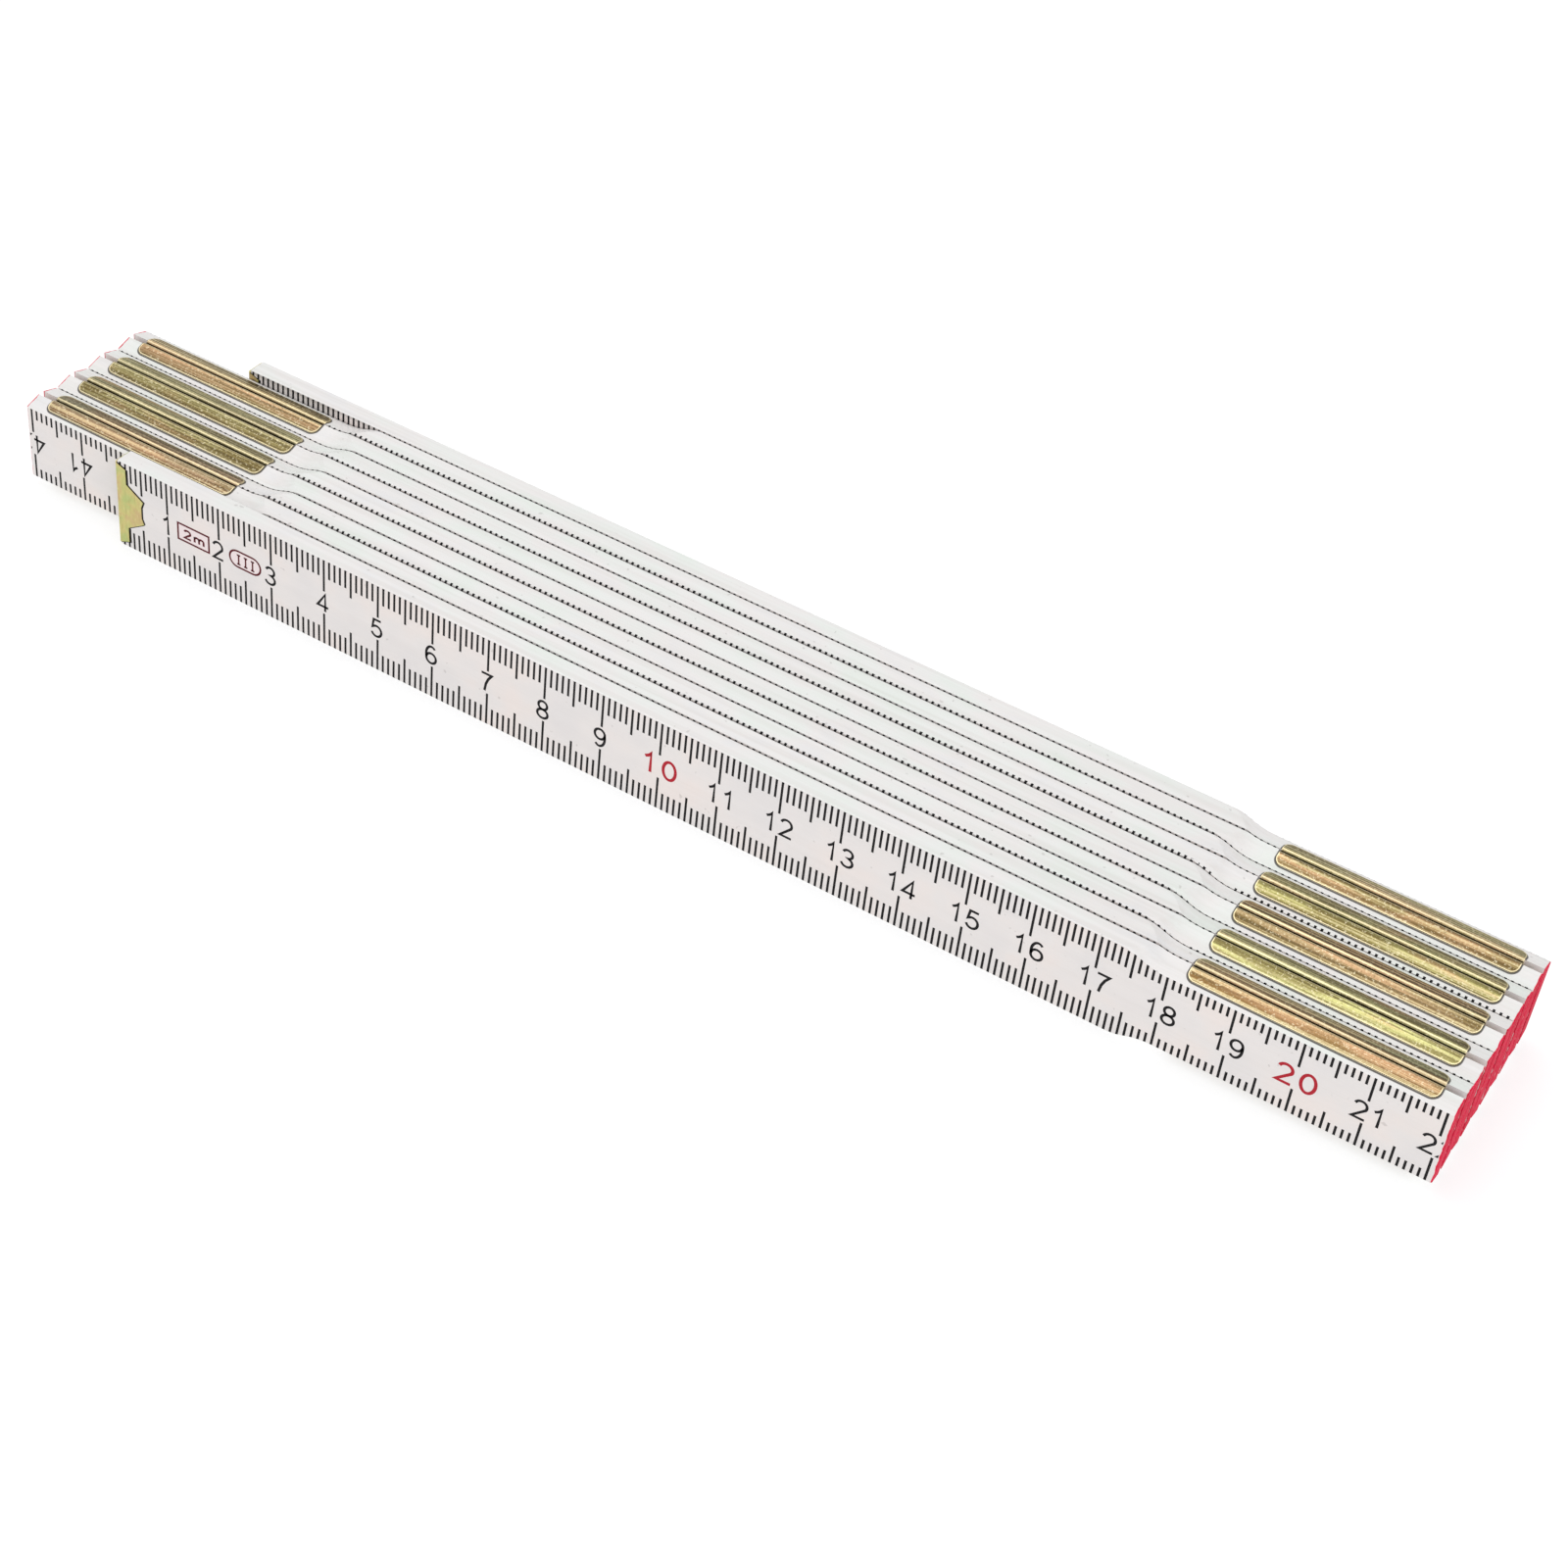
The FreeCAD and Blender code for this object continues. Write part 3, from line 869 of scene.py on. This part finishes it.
sample = Ink()
print_line(sample, faces[4][0], 650, 1)
print("a centimetre line on slat 4 takes", len(sample.faces), "faces")

# %% [markdown]
# ## The figures on the scale
# A figure stands on the middle line at each centimetre. Its pen path becomes a ribbon by stepping
# half a pen width to either side, square to the path, and out to the meeting point at a corner. The
# red tens are set in a larger, bolder and wider style than the black figures between them. A number
# stands a little to one side of its line: a lone 1 so far that its stem is on the line, other
# single figures less, and numbers of two or three figures a touch to the right.

# %% Turn a pen path into ink
SHARPEST_CORNER = 0.45


def ribbon(ink, face, path, pen):
    """A pen path in face millimetres as a closed strip of ink."""
    looped = math.dist(path[0], path[-1]) < 1e-6
    points = [Vector(point) for point in (path[:-1] if looped else path)]
    count = len(points)
    rows = []
    for index, point in enumerate(points):
        before = points[index - 1] if looped or index > 0 else None
        after = points[(index + 1) % count] if looped or index < count - 1 else None
        arriving = (point - before).normalized() if before is not None else None
        leaving = (after - point).normalized() if after is not None else None
        arriving = arriving or leaving
        leaving = leaving or arriving
        along = (arriving + leaving).normalized()
        square = Vector((-along.y, along.x))
        reach_out = pen / 2 / max(SHARPEST_CORNER, square.dot(Vector((-arriving.y, arriving.x))))
        left = point + square * reach_out
        right = point - square * reach_out
        rows.append([
            face.at(*left, INK_LIFT),
            face.at(*right, INK_LIFT),
            face.at(*right, -INK_DEPTH),
            face.at(*left, -INK_DEPTH),
        ])
    ink.hull(rows, closed=looped)


# %% Write a word of figures
class Style:
    """How figures are set: height, step and pen in mm, and how wide they are for their height."""

    def __init__(self, height, stretch, advance, pen):
        self.height = height
        self.stretch = stretch
        self.advance = advance
        self.pen = pen


BLACK_STYLE = Style(height=3.38, stretch=1.07, advance=2.6, pen=0.42)
RED_STYLE = Style(height=3.55, stretch=1.17, advance=3.4, pen=0.50)
ONE_SHIFT = -0.42
LONE_SHIFT = -0.2
PAIR_SHIFT = 0.2


def write(ink, face, text, middle, height, style):
    """Figures whose visible middle is at a reading, and whose half height is at a height."""
    width = style.height * style.stretch
    paths = []
    for index, letter in enumerate(text):
        for path in FIGURES[letter]:
            paths.append([(index * style.advance + x * width, y) for x, y in path])
    across = [x for path in paths for x, _ in path]
    shift = middle - (min(across) + max(across)) / 2
    for path in paths:
        placed = [(x + shift, height + (y - 0.5) * style.height) for x, y in path]
        ribbon(ink, face, placed, style.pen)


print(f"black figures are {BLACK_STYLE.height} mm high and red ones {RED_STYLE.height} mm")

# %% [markdown]
# ## Printing all the slats
# The hidden parts of a face, behind a hinge clip, stay unprinted. A number that would run past the
# end of the wood is cut off there, as on the real rule, where the blanks are printed before they
# are sawn to length. Each slat gets one piece of black ink and one of red.

# %% Print the scale on every slat
END_MARGIN = 0.3 * MM
LAST_READING = SLATS * READING_PER_SLAT


def cut_past_ends(printed_piece, number):
    """Trims ink that runs past the slat's ends, and closes the cut."""
    low, high = slat_boxes[number]
    work = bmesh.new()
    work.from_mesh(printed_piece.data)
    for x, away in ((low.x + END_MARGIN, -1), (high.x - END_MARGIN, 1)):
        cut = bmesh.ops.bisect_plane(
            work,
            geom=work.verts[:] + work.edges[:] + work.faces[:],
            plane_co=(x, 0, 0),
            plane_no=(away, 0, 0),
            clear_outer=True,
        )
        rim = [item for item in cut["geom_cut"] if isinstance(item, bmesh.types.BMEdge)]
        bmesh.ops.holes_fill(work, edges=rim)
    work.to_mesh(printed_piece.data)
    work.free()


def print_face(black, red, face):
    """The whole scale of one face."""
    first = max(1, math.ceil(face.print_start + LINE_WIDTH))
    last = min(LAST_READING - 1, math.floor(face.print_end - LINE_WIDTH))
    for reading in range(first, last + 1):
        for edge in (1, -1):
            print_line(black, face, reading, edge)
        if reading % CENTIMETRE:
            continue
        number = str(reading // CENTIMETRE)
        if number == "1":
            shift = ONE_SHIFT
        else:
            shift = LONE_SHIFT if len(number) == 1 else PAIR_SHIFT
        ink, style = (black, BLACK_STYLE) if reading % DECIMETRE else (red, RED_STYLE)
        write(ink, face, number, reading + shift, 0.0, style)


printed = {}
for number, faces_here in faces.items():
    black, red = Ink(), Ink()
    for face in faces_here:
        print_face(black, red, face)
    body = f"link_{number:02d}"
    printed[number] = [black.piece(f"scale_black_{number:02d}", black_ink, body)]
    if red.faces:
        printed[number].append(red.piece(f"scale_red_{number:02d}", red_ink, body))
    for made in printed[number]:
        cut_past_ends(made, number)
total = sum(len(made.data.polygons) for pieces in printed.values() for made in pieces)
print("ink pieces:", sum(len(pieces) for pieces in printed.values()), "faces:", total)

# %% [markdown]
# ## Two marks beside the first figures
# Between the first figures stand two small dark red marks: the rule's length in a box, and the
# numeral of its accuracy class, three strokes with serifs, in an oval. Both are drawn with the same
# pen. A breath of pink lies inside each outline, where the red plate left a thin film. Each mark is
# given by the readings where it starts and ends, and by the height of its middle.

# %% Draw the length and the accuracy class
MARK_PEN = 0.34
MARK_HALF_HEIGHT = 1.5
BOX = (12.0, 18.0, 0.18)
OVAL = (22.05, 27.95, 0.24)
NUDGE_RIGHT = 0.1
NUDGE_DOWN = 0.08
LENGTH_STYLE = Style(height=1.62, stretch=1.5, advance=2.0, pen=0.38)
CLASS_STYLE = Style(height=1.9, stretch=1.15, advance=1.33, pen=0.3)


def outline(mark, bulge):
    """Points round a mark: a box for bulge 0, or an oval with round ends for bulge 1."""
    start, end, height = mark
    inset = MARK_HALF_HEIGHT * bulge
    steps = 12 if bulge else 1
    turns = [(end - inset, -90), (start + inset, 90)]
    points = []
    for x, angle in turns:
        points += bow(x, height, inset, MARK_HALF_HEIGHT, angle, angle + 180, steps)
    return points


front_of_first = faces[1][0]
marks, film = Ink(), Ink()
for mark, bulge, text, style in ((BOX, 0, "2m", LENGTH_STYLE), (OVAL, 1, "III", CLASS_STYLE)):
    start, end, height = mark
    path = outline(mark, bulge)
    film.sheet(front_of_first, path)
    ribbon(marks, front_of_first, path + path[:1], MARK_PEN)
    middle = (start + end) / 2 + NUDGE_RIGHT
    write(marks, front_of_first, text, middle, height - NUDGE_DOWN, style)
mark_piece = marks.piece("length_and_class_marks", dark_red_ink, "link_01")
film_piece = film.piece("pink_film_in_marks", pink_ink, "link_01")
print("marks:", len(mark_piece.data.polygons), "faces, over", len(film_piece.data.polygons), "of film")

# %% [markdown]
# ## A painted shadow round an end cap
# Where the thin cap ends on the lacquer, its cut edge casts a thin shadow, with some tarnish in it.
# That shadow is painted as lines of dark ink along the cap's outline, each with its own pen: broad
# beside the strip, thinner round the tongue and thinnest below it. Half of every line lies under
# the cap.

# %% Draw the painted shadow lines
# Paths and pens of the painted shadow lines round a cap.
CAP_SEAM = [
    ([(0.3, 7.48), (2.0, 6.8)], 0.6),
    ([(2.0, 6.9), (2.0, 4.1)], 0.9),
    ([(2.0, 4.1), (5.2, 2.1), (4.8, 1.05), (4.8, -1.05), (5.2, -2.1)], 0.6),
    ([(5.2, -2.1), (2.0, -4.1)], 0.3),
    ([(2.0, -4.1), (2.0, -6.9)], 0.9),
    ([(2.0, -6.8), (0.3, -7.48)], 0.3),
]
capped_ends = {1: (0, 1), SLATS: (LAST_READING, -1)}
for number, (end_reading, inward) in capped_ends.items():
    seam = Ink()
    for face in faces[number]:
        for path, pen in CAP_SEAM:
            ribbon(seam, face, [(end_reading + inward * x, height) for x, height in path], pen)
    seam.piece(f"cap_seam_{number:02d}", cap_shadow_ink, f"link_{number:02d}")
print("seams drawn round", len(capped_ends), "caps")
